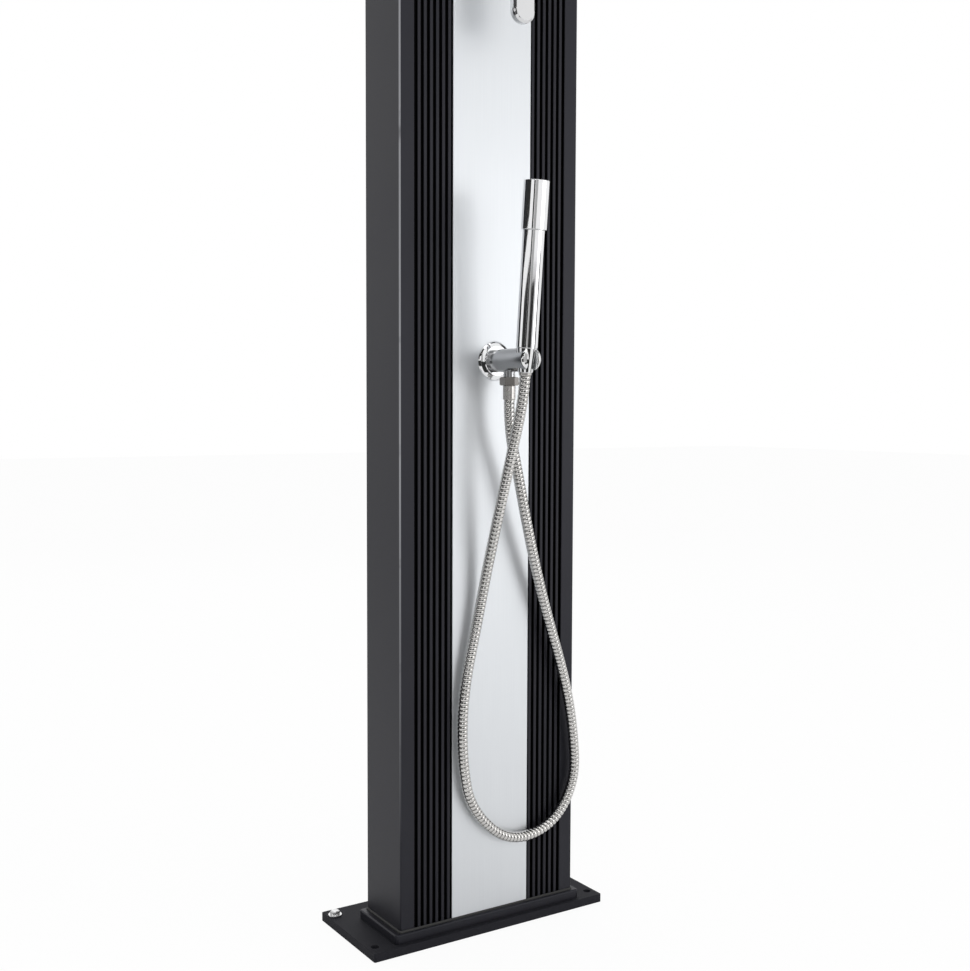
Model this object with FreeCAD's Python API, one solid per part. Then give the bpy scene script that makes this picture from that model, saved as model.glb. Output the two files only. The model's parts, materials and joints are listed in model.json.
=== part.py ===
import FreeCAD, Part

import math
import os

from FreeCAD import Placement, Rotation, Vector

# Outdoor shower post. Millimetres. +X is right as seen from the front, +Y goes to the back and
# +Z is up. The origin is the middle of the underside of the base plate.

# ---- foot ---------------------------------------------------------------------------------
PLATE_W = 318.0
PLATE_D = 136.0
PLATE_T = 10.0
PLATE_CORNER_R = 2.0
ANCHOR_EDGE_X = 9.5          # anchor hole centre from the side edge
ANCHOR_EDGE_Y = 17.0         # anchor hole centre from the front or back edge
ANCHOR_HOLE_D = 9.0
ANCHOR_SHANK_D = 8.0
ANCHOR_HEAD_AF = 10.0
ANCHOR_HEAD_H = 4.5
WASHER_D = 16.0
WASHER_T = 1.6
COLLAR_SIDE = 8.3            # width of the foot collar beside the column
COLLAR_FRONT = 4.9           # and in front of and behind it
COLLAR_H = 10.6
COLLAR_R = 4.0
SEAL_W = 1.6                 # rubber strip round the column, on top of the collar
SEAL_H = 2.4

# ---- column extrusion ---------------------------------------------------------------------
COLUMN_W = 240.0
COLUMN_D = 81.0
COLUMN_H = 2160.0
COLUMN_Y = -16.0             # the plate reaches further back than forward
COLUMN_R = 1.5
WALL = 2.6
RIBS = 6                     # on each side of the panel
RIB_PITCH = 7.8
RIB_W = 4.0
RIB_H = 3.0
RIB_MID = 76.0               # middle of each group of ribs from the middle of the column
RIB_TIP_R = 0.8
EDGE_GROOVE = 4.2            # groove between the last rib and the flat strip
PANEL_W = 104.8
PANEL_T = 2.0
PANEL_PROUD = 0.8
SLOT_W = 84.0                # opening of the middle chamber, behind the panel
SCREW_D = 5.0
SCREW_HEAD_D = 10.0
SCREW_L = 32.0
SCREW_WALL = 2.6             # metal round the screw channels
CHAMBER_R = 3.0
CAP_T = 12.0
CAP_LIP = 2.0
CAP_R = 4.0
PLUG_T = 14.0
PLUG_GROOVE = 3.0
GAP = 0.1                    # slip fit between fixed pieces
SEAT = 0.02                  # gap of a seal in its groove

# ---- fittings on the panel ----------------------------------------------------------------
FITTING_X = 4.0              # common line of the fittings
HOLDER_Z = 668.0
MIXER_Z = 1130.0
DIVERTER_Z = 1290.0
GASKET_T = 1.5
NUT_H = 8.0

# holder with the hose outlet
ROSETTE_D = 45.6
ROSETTE_T = 6.5
HOLDER_D = 26.6
HOLDER_END = 75.0            # from the column's front face to the edge of the domed end
HOLDER_DOME = 4.0
TAIL_D = 20.8                # threaded tail through the panel
OUTLET_OUT = 31.0            # hose outlet from the column's front face
OUTLET_D = 13.2
HOSE_NUT_AF = 19.0
HOSE_NUT_H = 9.6
CRADLE_OUT = 64.0            # axis of the hand shower from the column's front face
CRADLE_SLOT = 13.4           # the hose slips out forwards through this slot
HANDSET_TILT = 5.5

# hand shower, measured along its own axis from the middle of the cradle
CONE_LOW = -14.5
CONE_TOP = 13.0
CONE_LOW_D = 16.86
CONE_TOP_D = 23.6
CRADLE_GAP = 0.3
HANDSET_D = 24.2
HEAD_LOW = 141.0
HEAD_TOP = 194.0
HEAD_D = 28.2
SPRAY_D = 22.0
SPRAY_T = 2.4
FERRULE_L = 16.0
FERRULE_D = 14.2
FERRULE_EDGE = 0.8
SPIGOT_L = 2.0               # end of the lower ferrule inside its nut
UPPER_FERRULE_L = 3.0

# ribbed hose
HOSE_D = 12.4
HOSE_VALLEY_D = 10.9
HOSE_BORE_D = 8.0
HOSE_RIBS = 190
RIB_CREST = 0.28             # shares of the pitch: the crest starts,
RIB_FALL = 0.62              # ends,
RIB_END = 0.90               # and the next valley begins
HOSE_POINTS = [
    (4, -87.5, 591), (17, -84, 547), (39, -79, 463), (65, -73, 382), (99, -69, 290),
    (113, -68, 227), (118, -67, 158), (81, -66, 108), (19, -65.5, 102), (-31, -66, 148),
    (-44, -66, 203), (-44, -66, 284), (-24, -67, 372), (-15, -74, 436), (-3, -105, 567)]
HOSE_END_RUN = 26.0
RUN_SHARE = 0.45             # part of a run that the arc at each end takes

# mixer tap
MIXER_FLANGE_D = 64.0
MIXER_FLANGE_T = 6.0
MIXER_NECK_D = 40.0
SLEEVE_D = 46.0
SLEEVE_WALL = 1.4
SLEEVE_OUT = 40.5
DOME_GAP = 0.3
BALL_OUT = 34.0              # centre of the lever's pivot from the column's front face
BALL_R = 20.6
CUP_GAP = 0.7
CUP_WALL = 3.6
CUP_ANGLE = 42.0
CARTRIDGE_D = 33.6
CARTRIDGE_FRONT = 19.0
CARTRIDGE_L = 24.0
STEM_D = 8.0
PIN_D = 3.0
FORK_HALF = 9.0              # half width of the fork that carries the stem
LIFT_MAX = 25.0
LEVER_W = 28.4
LEVER_T = 9.0
LEVER_BACK = 50.5            # back of the lever from the column's front face
LEVER_L = 95.0               # pivot line to the lever's tip
LEVER_BEVEL = 2.6
GRUB_D = 3.0                 # grub screw that holds the lever on its stem
GRUB_L = 7.0
GRUB_IN = 4.5                # its axis lies this far behind the lever's front
VALVE_W = 72.0
VALVE_H = 36.0
VALVE_D = 30.0               # the valve blocks stand against the back of the panel

# diverter
DIVERTER_FLANGE_D = 50.0
FLANGE_T = 6.0               # diverter and arm flanges
KNOB_D = 36.0
KNOB_OUT = 30.0
SPINDLE_D = 8.0
DIVERTER_W = 44.0

# shower arm and overhead shower
ARM_D = 20.0
ARM_BORE_D = 16.0
ARM_BELOW_TOP = 80.0         # axis of the arm below the top of the column
ARM_REACH = 330.0
ARM_DROP = 60.0
ARM_BEND_R = 45.0
ARM_FLANGE_D = 60.0
JOINT_BALL_D = 20.0
JOINT_NECK_D = 11.0
JOINT_GAP = 0.1
TILT_MAX = 12.0
OVERHEAD_D = 200.0
OVERHEAD_T = 9.0
OVERHEAD_WALL = 2.5
OVERHEAD_HUB_D = 48.0        # flat top of the shell, round the collar
SPRAY_PLATE_T = 2.5
FACE_INSET = 0.3             # the spray plate lies this far inside the rim
NOZZLE_D = 4.0
NOZZLE_L = 2.0
NOZZLE_RINGS = (35.0, 65.0)
NOZZLE_COUNTS = (6, 12)

# pipes in the middle chamber
PIPE_D = 12.0
PIPE_BORE_D = 9.6
PIPE_BEND_R = 24.0
BLOCK_H = 24.0
BLOCK_W = 88.0
BLOCK_D = 24.0
INLET_Z = 62.0
INLET_D = 20.9
INLET_L = 18.0
INLET_HEX_AF = 27.0
HOT_Z_DROP = 60.0            # hot manifold below the top of the column
PORT_SPREAD = 28.0           # hot and cold ports from the middle of the mixer
DRAIN_X = 36.0
DRAIN_D = 16.0

# ---- worked out from the values above -----------------------------------------------------
FRONT = COLUMN_Y - COLUMN_D / 2
BACK = COLUMN_Y + COLUMN_D / 2
COLUMN_TOP = PLATE_T + COLUMN_H
ARM_Z = COLUMN_TOP - ARM_BELOW_TOP
PANEL_BACK = PANEL_T - PANEL_PROUD
RIB_FIRST = RIB_MID - RIB_PITCH * (RIBS - 1) / 2
WEB_X = RIB_FIRST
CHAMBER_X0 = WEB_X + WALL / 2
CHAMBER_X1 = COLUMN_W / 2 - WALL
CHAMBER_Y0 = FRONT + RIB_H + WALL
CHAMBER_Y1 = BACK - WALL
MIDDLE_X = WEB_X - WALL / 2
MIDDLE_Y0 = FRONT + PANEL_BACK + WALL
BOSS_R = SCREW_D / 2 + SCREW_WALL
PIPE_Y = BACK - WALL - BLOCK_D / 2 - 2.0
VALVE_FRONT = PANEL_BACK
VALVE_Y = FRONT + VALVE_FRONT + VALVE_D / 2
HOT_Z = COLUMN_TOP - HOT_Z_DROP
TILT = math.radians(HANDSET_TILT)
OUT = Rotation(Vector(1, 0, 0), 90)


# ---- drawing helpers ----------------------------------------------------------------------
def corner_edges(points, radii, closed):
    """Straight edges through the points, with a tangent arc of the given radius at each corner."""
    count = len(points)
    starts = []
    ends = []
    arcs = []
    for i, point in enumerate(points):
        inner = closed or 0 < i < count - 1
        radius = radii[i] if inner else 0
        if radius <= 0:
            starts.append(point)
            ends.append(point)
            arcs.append(None)
            continue
        back = (points[i - 1] - point).normalize()
        ahead = (points[(i + 1) % count] - point).normalize()
        half = back.getAngle(ahead) / 2
        reach = radius / math.tan(half)
        middle = (back + ahead).normalize()
        first = point + back * reach
        last = point + ahead * reach
        top = point + middle * (radius / math.sin(half) - radius)
        starts.append(first)
        ends.append(last)
        arcs.append(Part.Arc(first, top, last).toShape())
    edges = []
    for i in range(count):
        if arcs[i] is not None:
            edges.append(arcs[i])
        if i < count - 1 or closed:
            edges.append(Part.LineSegment(ends[i], starts[(i + 1) % count]).toShape())
    return edges


def outline(points, radius=0.0):
    """Closed face from corner points; radius is one value or one for each corner."""
    radii = radius if isinstance(radius, (list, tuple)) else [radius] * len(points)
    vectors = [Vector(*point) for point in points]
    return Part.Face(Part.Wire(corner_edges(vectors, radii, True)))


def rectangle(x0, x1, y0, y1, z=0.0, radius=0.0):
    return outline([(x0, y0, z), (x1, y0, z), (x1, y1, z), (x0, y1, z)], radius)


def disc(radius, x, y):
    return Part.Face(Part.Wire(Part.makeCircle(radius, Vector(x, y, 0))))


def block(x0, x1, y0, y1, z0, z1, radius=0.0):
    return rectangle(x0, x1, y0, y1, z0, radius).extrude(Vector(0, 0, z1 - z0))


def rod(radius, z0, z1, x=0.0, y=0.0):
    return Part.makeCylinder(radius, z1 - z0, Vector(x, y, z0))


def hexagon(across_flats, z0, z1):
    corner = across_flats / math.sqrt(3)
    angles = [math.radians(60 * i + 30) for i in range(6)]
    face = outline([(corner * math.cos(a), corner * math.sin(a), z0) for a in angles])
    return face.extrude(Vector(0, 0, z1 - z0))


def turned(profile, radii=0.0):
    """Solid of revolution about Z from (radius, height) points."""
    face = outline([(r, 0, h) for r, h in profile], radii)
    return face.revolve(Vector(0, 0, 0), Vector(0, 0, 1), 360)


def ring(outer, inner, z0, z1):
    return rod(outer, z0, z1).cut(rod(inner, z0, z1))


def on_panel(shape, z, x=FITTING_X):
    """Puts a piece drawn along +Z on the column's front face, pointing out of it."""
    placed = shape.copy()
    placed.Placement = Placement(Vector(x, FRONT, z), OUT).multiply(placed.Placement)
    return placed


def on_handset(shape):
    """Puts a piece drawn along +Z on the leaning axis of the hand shower."""
    placed = shape.copy()
    middle = Vector(FITTING_X, FRONT - CRADLE_OUT, HOLDER_Z)
    lean = Placement(middle, Rotation(Vector(1, 0, 0), HANDSET_TILT))
    placed.Placement = lean.multiply(placed.Placement)
    return placed


def flipped(shape):
    """Mirror image across the middle plane of the column."""
    return shape.mirror(Vector(0, 0, 0), Vector(1, 0, 0))


def pipe(points, bend, outer, bore):
    """Bent tube through the points, with one bend radius."""
    vectors = [Vector(*point) for point in points]
    path = Part.Wire(corner_edges(vectors, [bend] * len(vectors), False))
    along = (vectors[1] - vectors[0]).normalize()
    solids = []
    for diameter in (outer, bore):
        circle = Part.Wire(Part.makeCircle(diameter / 2, vectors[0], along))
        solids.append(path.makePipeShell([circle], True, False))
    return solids[0].cut(solids[1])


def save(name, shape):
    shapes = shape if isinstance(shape, list) else [shape]
    solids = []
    for item in shapes:
        solids.extend(item.Solids)
    kept = solids[0] if len(solids) == 1 else Part.makeCompound(solids)
    kept.exportStep("parts/%s.step" % name)
    for solid in solids:
        if not solid.isValid() or solid.Volume <= 0:
            print("not valid:", name)


# ---- foot ---------------------------------------------------------------------------------
def anchor_points():
    x = PLATE_W / 2 - ANCHOR_EDGE_X
    y = PLATE_D / 2 - ANCHOR_EDGE_Y
    return [(-x, -y), (x, -y), (x, y), (-x, y)]


def screw_points():
    x = MIDDLE_X - BOSS_R + SCREW_WALL / 2
    front = MIDDLE_Y0 + BOSS_R - SCREW_WALL / 2
    back = CHAMBER_Y1 - BOSS_R + SCREW_WALL / 2
    return [(-x, front), (x, front), (x, back), (-x, back)]


def countersink(x, y, top, up=True):
    """Head room and clearance hole for one countersunk screw whose head is flush at top."""
    r_head = SCREW_HEAD_D / 2 + SEAT
    r_hole = SCREW_D / 2 + SEAT
    depth = r_head - r_hole
    hole = turned([(0, 0), (r_head, 0), (r_hole, -depth), (r_hole, -SCREW_L), (0, -SCREW_L)])
    if not up:
        hole.rotate(Vector(0, 0, 0), Vector(1, 0, 0), 180)
    hole.translate(Vector(x, y, top))
    return hole


def screws(top, up):
    """Four countersunk screws, into the screw channels of the column."""
    solids = []
    for x, y in screw_points():
        r_head = SCREW_HEAD_D / 2
        r_shank = SCREW_D / 2
        depth = r_head - r_shank
        screw = turned([(0, 0), (r_head, 0), (r_shank, -depth), (r_shank, -SCREW_L + 2), (0, -SCREW_L)])
        socket = hexagon(SCREW_HEAD_D / 3, -depth, 0)
        screw = screw.cut(socket)
        if not up:
            screw.rotate(Vector(0, 0, 0), Vector(1, 0, 0), 180)
        screw.translate(Vector(x, y, top))
        solids.append(screw)
    return solids


def base_plate():
    plate = block(-PLATE_W / 2, PLATE_W / 2, -PLATE_D / 2, PLATE_D / 2, 0, PLATE_T, PLATE_CORNER_R)
    holes = [rod(ANCHOR_HOLE_D / 2, 0, PLATE_T, x, y) for x, y in anchor_points()]
    holes += [countersink(x, y, 0, up=False) for x, y in screw_points()]
    return plate.cut(holes)


def column_ring(grow_x, grow_y, z0, z1, radius, hole_gap):
    """Ring round the column's foot."""
    outer = block(-COLUMN_W / 2 - grow_x, COLUMN_W / 2 + grow_x, FRONT - grow_y, BACK + grow_y,
                  z0, z1, radius)
    inner = block(-COLUMN_W / 2 - hole_gap, COLUMN_W / 2 + hole_gap, FRONT - hole_gap, BACK + hole_gap,
                  z0, z1, COLUMN_R)
    return outer, inner


def foot_collar():
    outer, inner = column_ring(COLLAR_SIDE, COLLAR_FRONT, PLATE_T, PLATE_T + COLLAR_H, COLLAR_R, GAP)
    rim = [edge for edge in outer.Edges if edge.CenterOfMass.z > PLATE_T + COLLAR_H - GAP]
    return outer.makeChamfer(1.2, rim).cut(inner)


def foot_seal():
    base = PLATE_T + COLLAR_H
    outer, inner = column_ring(SEAL_W, SEAL_W, base, base + SEAL_H, COLUMN_R + SEAL_W, SEAT)
    rim = [edge for edge in outer.Edges if edge.CenterOfMass.z > base + SEAL_H - GAP]
    return outer.makeChamfer(1.0, rim).cut(inner)


def anchor_bolt():
    x, y = anchor_points()[3]
    top = PLATE_T + WASHER_T
    head = hexagon(ANCHOR_HEAD_AF, top, top + ANCHOR_HEAD_H)
    dome = turned([(0, top), (ANCHOR_HEAD_AF * 0.6, top), (ANCHOR_HEAD_AF * 0.6, top + ANCHOR_HEAD_H * 0.7),
                   (ANCHOR_HEAD_AF * 0.4, top + ANCHOR_HEAD_H), (0, top + ANCHOR_HEAD_H)])
    bolt = head.common(dome).fuse(rod(ANCHOR_SHANK_D / 2, 0, top)).removeSplitter()
    bolt.translate(Vector(x, y, 0))
    return bolt


def anchor_washer():
    x, y = anchor_points()[3]
    washer = ring(WASHER_D / 2, ANCHOR_SHANK_D / 2 + GAP, PLATE_T, PLATE_T + WASHER_T)
    washer.translate(Vector(x, y, 0))
    return washer


# ---- column -------------------------------------------------------------------------------
def rib_centres():
    return [RIB_FIRST + RIB_PITCH * i for i in range(RIBS)]


def groove_spans():
    """Each groove's start and end from the middle of the column, panel side first."""
    centres = rib_centres()
    spans = [(PANEL_W / 2, centres[0] - RIB_W / 2)]
    spans += [(a + RIB_W / 2, b - RIB_W / 2) for a, b in zip(centres, centres[1:])]
    spans.append((centres[-1] + RIB_W / 2, centres[-1] + RIB_W / 2 + EDGE_GROOVE))
    return spans


def groove(x0, x1):
    """Groove outline with a rounded mouth, which rounds the tips of the ribs beside it."""
    r = RIB_TIP_R
    mouth = FRONT - 1.0
    points = [(x0 - r, mouth, 0), (x1 + r, mouth, 0), (x1 + r, FRONT, 0), (x1, FRONT + r, 0),
              (x1, FRONT + RIB_H, 0), (x0, FRONT + RIB_H, 0), (x0, FRONT + r, 0), (x0 - r, FRONT, 0)]
    vectors = [Vector(*point) for point in points]
    middle = r * (1 - math.sqrt(0.5))
    right = Part.Arc(vectors[2], Vector(x1 + middle, FRONT + middle, 0), vectors[3]).toShape()
    left = Part.Arc(vectors[6], Vector(x0 - middle, FRONT + middle, 0), vectors[7]).toShape()
    lines = [(0, 1), (1, 2), (3, 4), (4, 5), (5, 6), (7, 0)]
    straight = [Part.LineSegment(vectors[a], vectors[b]).toShape() for a, b in lines]
    edges = straight[:2] + [right] + straight[2:5] + [left] + straight[5:]
    return Part.Face(Part.Wire(edges))


def chamber():
    """Outline of the right-hand water chamber."""
    return rectangle(CHAMBER_X0, CHAMBER_X1, CHAMBER_Y0, CHAMBER_Y1, 0, CHAMBER_R)


def column_section():
    section = rectangle(-COLUMN_W / 2, COLUMN_W / 2, FRONT, BACK, 0, COLUMN_R)
    cuts = [rectangle(-PANEL_W / 2 - GAP, PANEL_W / 2 + GAP, FRONT - 1, FRONT + PANEL_BACK)]
    for x0, x1 in groove_spans():
        cuts += [groove(x0, x1), flipped(groove(x0, x1))]
    cuts += [chamber(), flipped(chamber())]
    bosses = [disc(BOSS_R, x, y) for x, y in screw_points()]
    cuts.append(rectangle(-MIDDLE_X, MIDDLE_X, MIDDLE_Y0, CHAMBER_Y1).cut(bosses))
    cuts.append(rectangle(-SLOT_W / 2, SLOT_W / 2, FRONT - 1, MIDDLE_Y0 + 1))
    cuts += [disc(SCREW_D / 2 + GAP / 2, x, y) for x, y in screw_points()]
    return section.cut(cuts)


def back_hole(radius, x, z):
    """Round hole through the back wall."""
    return Part.makeCylinder(radius, WALL * 3, Vector(x, BACK + WALL, z), Vector(0, -1, 0))


def web_holes(z):
    """Holes in both webs for the short tubes into the water chambers."""
    length = 2 * (CHAMBER_X0 + WALL)
    return Part.makeCylinder(PIPE_D / 2 + GAP / 2, length, Vector(-length / 2, PIPE_Y, z), Vector(1, 0, 0))


def column_profile():
    column = column_section().extrude(Vector(0, 0, COLUMN_H))
    column.translate(Vector(0, 0, PLATE_T))
    holes = [web_holes(INLET_Z), web_holes(HOT_Z), back_hole(INLET_D / 2 + GAP, 0, INLET_Z),
             back_hole(DRAIN_D / 2 + GAP, CHAMBER_X0 + DRAIN_X, INLET_Z)]
    return column.cut(holes)


def panel_holes():
    """Round holes in the panel: height and radius."""
    return [(HOLDER_Z, TAIL_D / 2 + GAP), (MIXER_Z, MIXER_NECK_D / 2 + GAP),
            (DIVERTER_Z, TAIL_D / 2 + GAP), (ARM_Z, ARM_D / 2 + GAP)]


def front_panel():
    panel = block(-PANEL_W / 2, PANEL_W / 2, FRONT - PANEL_PROUD, FRONT + PANEL_BACK,
                  PLATE_T + COLLAR_H + SEAL_H, COLUMN_TOP)
    return panel.cut([on_panel(rod(radius, -PANEL_T * 2, PANEL_T * 2), z) for z, radius in panel_holes()])


def plug(z0, z1):
    """Chamber plug with the groove for its seal, and the seal."""
    def layer(shrink, a, b):
        return block(CHAMBER_X0 + shrink, CHAMBER_X1 - shrink, CHAMBER_Y0 + shrink, CHAMBER_Y1 - shrink,
                     a, b, CHAMBER_R - shrink if shrink < CHAMBER_R / 2 else 0.5)
    middle = (z0 + z1) / 2
    low = middle - PLUG_GROOVE / 2
    high = middle + PLUG_GROOVE / 2
    band = layer(GAP, low, high).cut(layer(PLUG_GROOVE, low, high))
    body = layer(GAP, z0, z1).cut(band)
    seal = layer(SEAT, low + SEAT, high - SEAT).cut(layer(PLUG_GROOVE - SEAT, low + SEAT, high - SEAT))
    return body, seal


def top_cap():
    over = CAP_LIP
    cap = block(-COLUMN_W / 2 - over, COLUMN_W / 2 + over, FRONT - over, BACK + over,
                COLUMN_TOP, COLUMN_TOP + CAP_T, COLUMN_R + over)
    rim = [edge for edge in cap.Edges if edge.CenterOfMass.z > COLUMN_TOP + CAP_T - GAP]
    cap = cap.makeFillet(CAP_R, rim)
    return cap.cut([countersink(x, y, COLUMN_TOP + CAP_T) for x, y in screw_points()])


# ---- holder, hose outlet and hand shower --------------------------------------------------
def cone_radius(s, gap=0.0):
    share = (s - CONE_LOW) / (CONE_TOP - CONE_LOW)
    return (CONE_LOW_D + (CONE_TOP_D - CONE_LOW_D) * share) / 2 + gap


def tail_nut(tail_d):
    """Hexagon lock nut behind the panel."""
    back = -PANEL_BACK
    nut = hexagon(tail_d * 1.45, back - NUT_H, back)
    return nut.cut(rod(tail_d / 2 + GAP / 2, back - NUT_H, back))


def holder_rosette():
    """Domed cover plate with a step, on the panel."""
    base = PANEL_PROUD
    r = ROSETTE_D / 2
    inner = HOLDER_D / 2 + GAP / 2
    return turned([(inner, base), (r, base), (r, base + 2.0), (r - 3.0, base + 3.4),
                   (inner + 2.0, ROSETTE_T), (inner, ROSETTE_T)], [0, 0, 0.9, 1.2, 1.2, 0])


def holder_body():
    """Round bar out of the panel, with the cradle at its end and the hose outlet under it."""
    r = HOLDER_D / 2
    tail = -PANEL_BACK - NUT_H - 10.0
    bar = turned([(0, tail), (TAIL_D / 2, tail), (TAIL_D / 2, PANEL_PROUD), (r, PANEL_PROUD),
                  (r, HOLDER_END), (r * 0.55, HOLDER_END + HOLDER_DOME), (0, HOLDER_END + HOLDER_DOME)],
                 [0, 0, 0, 0, r * 0.35, r * 0.5, 0])
    bar = on_panel(bar, HOLDER_Z)
    low = CONE_LOW - CONE_TOP_D
    high = CONE_TOP + CONE_TOP_D
    cone = Part.makeCone(cone_radius(low, CRADLE_GAP), cone_radius(high, CRADLE_GAP), high - low,
                         Vector(0, 0, low))
    cone.rotate(Vector(0, 0, 0), Vector(0, 0, 1), -90)
    slot = block(-CRADLE_SLOT / 2, CRADLE_SLOT / 2, -HOLDER_D, 0, low, high)
    bar = bar.cut([on_handset(cone), on_handset(slot)])
    outlet_y = FRONT - OUTLET_OUT
    bottom = hose_nut_top() - HOSE_NUT_H + SPIGOT_L
    outlet = rod(OUTLET_D / 2, bottom, HOLDER_Z, FITTING_X, outlet_y)
    water = [rod(OUTLET_D / 2 - 2.6, bottom, HOLDER_Z, FITTING_X, outlet_y),
             on_panel(rod(OUTLET_D / 2 - 2.0, tail, OUTLET_OUT), HOLDER_Z)]
    return bar.fuse(outlet).removeSplitter().cut(water)


def hose_nut_top():
    """Top of the hexagon nut, a little below the bar."""
    return HOLDER_Z - HOLDER_D / 2 - 5.6


def hose_start():
    """Where the hose leaves the lower ferrule."""
    return Vector(FITTING_X, FRONT - OUTLET_OUT, hose_nut_top() - HOSE_NUT_H - FERRULE_L)


def hose_nut():
    top = hose_nut_top()
    nut = hexagon(HOSE_NUT_AF, top - HOSE_NUT_H, top)
    bevel = turned([(0, top), (HOSE_NUT_AF * 0.5, top), (HOSE_NUT_AF * 0.6, top - 1.4),
                    (HOSE_NUT_AF * 0.6, top - HOSE_NUT_H + 1.4), (HOSE_NUT_AF * 0.5, top - HOSE_NUT_H),
                    (0, top - HOSE_NUT_H)])
    nut = nut.common(bevel).cut(rod(OUTLET_D / 2 + GAP / 2, top - HOSE_NUT_H, top))
    nut.translate(Vector(FITTING_X, FRONT - OUTLET_OUT, 0))
    return nut


def ferrule(z0, z1):
    """Smooth crimped sleeve on a hose end, open inside."""
    body = turned([(HOSE_BORE_D / 2, z0), (FERRULE_D / 2, z0), (FERRULE_D / 2, z1), (HOSE_BORE_D / 2, z1)],
                  [0, FERRULE_EDGE, FERRULE_EDGE, 0])
    return body


def lower_ferrule():
    """Its spigot goes up inside the nut, against the end of the outlet."""
    spigot = ring(OUTLET_D / 2, HOSE_BORE_D / 2, FERRULE_L - FERRULE_EDGE, FERRULE_L + SPIGOT_L)
    sleeve = ferrule(0, FERRULE_L).fuse(spigot).removeSplitter()
    sleeve.translate(hose_start())
    return sleeve


def cone_nut():
    bore = HOSE_BORE_D / 2
    return on_handset(turned([(bore, CONE_LOW), (cone_radius(CONE_LOW), CONE_LOW),
                              (cone_radius(CONE_TOP), CONE_TOP), (bore, CONE_TOP)], [0, 0.8, 0.5, 0]))


def upper_ferrule():
    return on_handset(ferrule(CONE_LOW - UPPER_FERRULE_L, CONE_LOW))


def handset_body():
    r = HANDSET_D / 2
    bore = r - 2.4
    low = CONE_TOP
    tube = turned([(HOSE_BORE_D / 2, low), (r, low), (r, HEAD_LOW), (bore, HEAD_LOW), (bore, low + 8.0),
                   (HOSE_BORE_D / 2, low + 8.0)], [0, 1.0, 0, 0, 0, 0])
    return on_handset(tube)


def handset_head():
    r = HEAD_D / 2
    bore = HANDSET_D / 2 - 2.4
    rim = SPRAY_D / 2 + GAP / 2
    seat = HEAD_TOP - SPRAY_T - 0.6
    head = turned([(bore, HEAD_LOW), (r, HEAD_LOW), (r, HEAD_TOP), (rim, HEAD_TOP), (rim, seat),
                   (bore - 1.4, seat), (bore - 1.4, HEAD_LOW + 3.0), (bore, HEAD_LOW + 3.0)],
                  [0, 0.8, 1.8, 0, 0, 0, 0, 0])
    return on_handset(head)


def spray_insert():
    seat = HEAD_TOP - SPRAY_T - 0.6
    disc = rod(SPRAY_D / 2, seat, seat + SPRAY_T)
    holes = []
    for i in range(6):
        angle = math.radians(60 * i)
        holes.append(rod(0.9, seat, seat + SPRAY_T, 6.5 * math.cos(angle), 6.5 * math.sin(angle)))
    return on_handset(disc.cut(holes))


# ---- ribbed hose --------------------------------------------------------------------------
def hose_route():
    axis = Vector(0, -math.sin(TILT), math.cos(TILT))
    middle = Vector(FITTING_X, FRONT - CRADLE_OUT, HOLDER_Z)
    end = middle + axis * (CONE_LOW - UPPER_FERRULE_L)
    return [hose_start()] + [Vector(*point) for point in HOSE_POINTS] + [end - axis * HOSE_END_RUN, end]


def hose_radii(points):
    radii = [0.0]
    for before, here, after in zip(points, points[1:], points[2:]):
        run_in = here - before
        run_out = after - here
        turn = run_in.getAngle(run_out)
        radii.append(RUN_SHARE * min(run_in.Length, run_out.Length) / math.tan(turn / 2))
    return radii + [0.0]


def stations(edges, distances):
    """Point and direction at each distance along a chain of edges."""
    found = []
    index = 0
    passed = 0.0
    for distance in distances:
        while index < len(edges) - 1 and distance > passed + edges[index].Length:
            passed += edges[index].Length
            index += 1
        edge = edges[index]
        parameter = edge.getParameterByLength(min(distance - passed, edge.Length))
        found.append((edge.valueAt(parameter), edge.tangentAt(parameter)))
    return found


def hose_circle(point, direction, radius):
    """Circle across the hose; its X axis stays square to the column's depth."""
    side = direction.cross(Vector(0, 1, 0)).normalize()
    circle = Part.Wire(Part.makeCircle(radius))
    circle.Placement = Placement(point, Rotation(side, direction.cross(side), direction, "ZXY"))
    return circle


def shower_hose():
    points = hose_route()
    radii = hose_radii(points)
    edges = corner_edges(points, radii, False)
    length = sum(edge.Length for edge in edges)
    print("hose length %.0f, bend radii from %.0f" % (length, min(radii[1:-1])))
    plain = HOSE_D
    pitch = (length - 2 * plain) / HOSE_RIBS
    rows = [(0.0, HOSE_VALLEY_D / 2)]
    for i in range(HOSE_RIBS):
        start = plain + pitch * i
        rows += [(start, HOSE_VALLEY_D / 2), (start + pitch * RIB_CREST, HOSE_D / 2),
                 (start + pitch * RIB_FALL, HOSE_D / 2), (start + pitch * RIB_END, HOSE_VALLEY_D / 2)]
    rows.append((length, HOSE_VALLEY_D / 2))
    circles = [hose_circle(point, direction, radius) for (point, direction), (distance, radius)
               in zip(stations(edges, [row[0] for row in rows]), rows)]
    ribs = Part.makeLoft(circles, True, True)
    path = Part.Wire(edges)
    bore = Part.Wire(Part.makeCircle(HOSE_BORE_D / 2, points[0], points[1] - points[0]))
    core = path.makePipeShell([bore], True, False)
    hose = ribs.cut(core)
    wide = HOSE_D ** 2
    thin = HOSE_VALLEY_D ** 2
    slope = (wide + thin + HOSE_D * HOSE_VALLEY_D) / 3
    flat = RIB_FALL - RIB_CREST
    ribbed = wide * flat + thin * (1 - RIB_END) + slope * (RIB_END - flat)
    quarter = math.pi / 4
    expected = quarter * ((ribbed - HOSE_BORE_D ** 2) * (length - 2 * plain)
                          + (thin - HOSE_BORE_D ** 2) * 2 * plain)
    print("hose volume %.0f, section times length %.0f" % (hose.Volume, expected))
    return hose


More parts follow.
